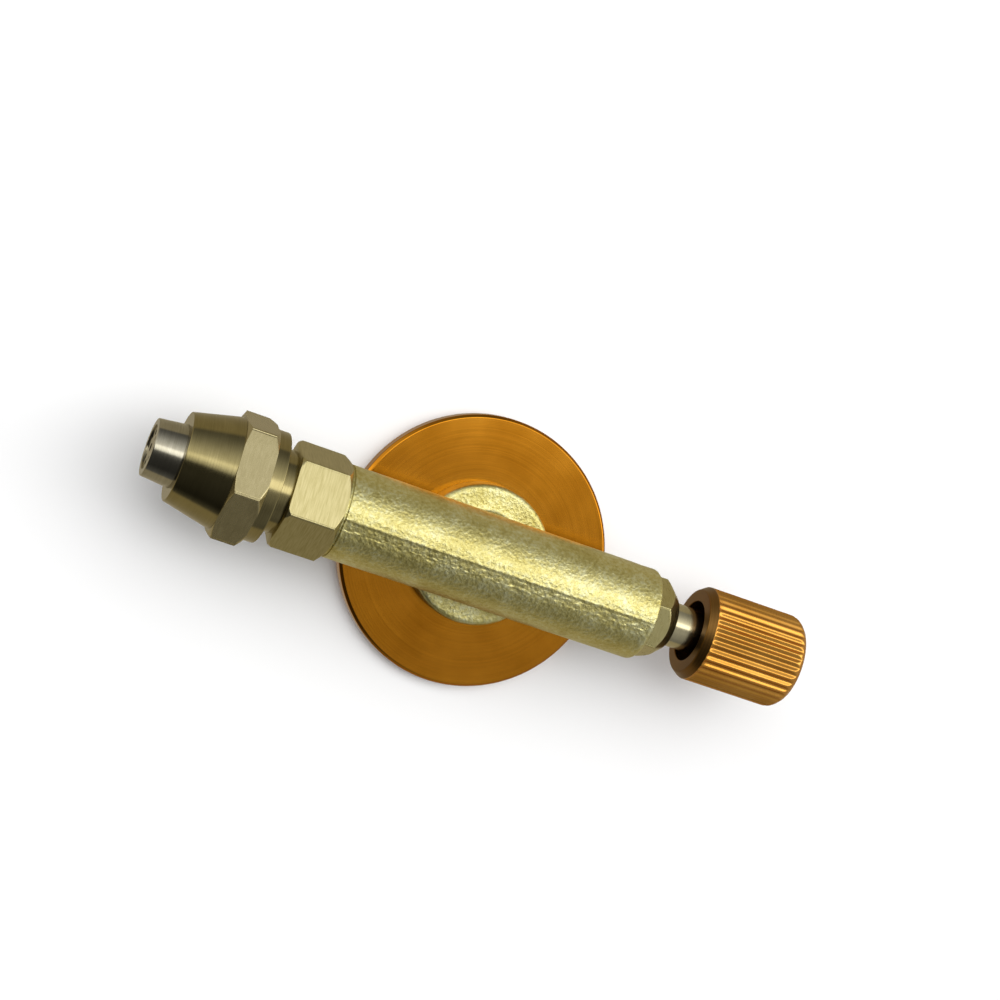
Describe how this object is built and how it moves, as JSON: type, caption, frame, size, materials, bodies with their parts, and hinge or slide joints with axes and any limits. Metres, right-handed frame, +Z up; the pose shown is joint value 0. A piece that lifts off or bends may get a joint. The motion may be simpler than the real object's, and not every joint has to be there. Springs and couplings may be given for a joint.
{
  "type": "canister-top gas valve with nozzle",
  "caption": "Brass needle valve for a threaded gas canister, with a conical nozzle, a round gold flange and a ridged control knob.",
  "frame": {"origin": "centre of the canister inlet's mouth, on the underside of the round flange", "axes": "+Z up along the inlet's axis, away from the canister; +X along the barrel from the nozzle to the knob; +Y completes the right-handed frame"},
  "size_m": [0.1026, 0.042, 0.0261],
  "materials": {
    "forged_brass": "as forged, fine shot-blasted grain with machined flats",
    "turned_brass": "turned",
    "gold_anodised": "gold anodised, fine turning marks",
    "stainless": "turned",
    "nickel_plate": "polished",
    "zinc_steel": "zinc plated",
    "copper": "soft annealed copper",
    "sintered_bronze": "porous sintered bronze",
    "seal_rubber": "matt nitrile rubber",
    "packing_ptfe": "satin PTFE"
  },
  "bodies": {
    "body": {"valve_body": "forged_brass", "flange_disc": "gold_anodised", "flange_ring_nut": "turned_brass", "inlet_seal": "seal_rubber", "depressor_pin": "turned_brass", "inlet_filter": "sintered_bronze", "valve_seat": "turned_brass", "backup_washer": "turned_brass", "packing_ring": "packing_ptfe", "gland_nut": "forged_brass", "nozzle_adapter": "turned_brass", "adapter_washer": "copper", "jet_filter": "sintered_bronze", "gas_jet": "turned_brass", "nozzle_cap": "turned_brass", "nozzle_tip": "stainless", "tip_gasket": "packing_ptfe", "flame_holder": "turned_brass"},
    "stem_carriage": {"stem_o_ring": "seal_rubber"},
    "spindle_and_knob": {"spindle": "nickel_plate", "knob": "gold_anodised", "knob_washer": "zinc_steel", "knob_screw": "zinc_steel"}
  },
  "joints": [
    {"name": "spindle_travel", "type": "slide", "parent": "body", "child": "stem_carriage", "axis": [1, 0, 0], "range_m": [0, 0.00151]},
    {"name": "knob_turn", "type": "hinge", "parent": "stem_carriage", "child": "spindle_and_knob", "pos_m": [0.03, 0, 0.0164], "axis": [1, 0, 0], "range_deg": [0, 720]}
  ],
  "couplings": [
    {"joint": "spindle_travel", "follows": "knob_turn", "m_per_rad": 0.00011937}
  ]
}
